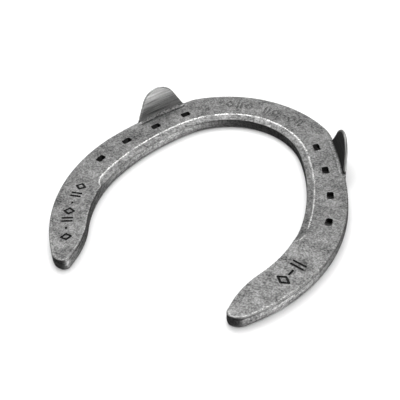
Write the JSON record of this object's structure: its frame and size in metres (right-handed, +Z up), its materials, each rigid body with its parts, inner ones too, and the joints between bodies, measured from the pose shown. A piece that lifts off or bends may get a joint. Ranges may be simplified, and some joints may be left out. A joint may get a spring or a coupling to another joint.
{
  "type": "horseshoe",
  "caption": "Hind horseshoe of flat steel bar with a clip at each quarter, rectangular nail holes, a crease on the ground side and sole relief.",
  "frame": {"origin": "centre of the shoe's outer size, in the plane of its ground surface", "axes": "+Y from the heels to the toe, +Z up from the ground surface to the foot surface, +X to the right seen from the heels"},
  "size_m": [0.1332, 0.137, 0.0204],
  "materials": {
    "forged_bar_steel": "matte",
    "drawn_clip_steel": "satin"
  },
  "bodies": {
    "root": {"shoe_body": "forged_bar_steel", "left_side_clip": "drawn_clip_steel", "right_side_clip": "drawn_clip_steel"}
  },
  "joints": []
}
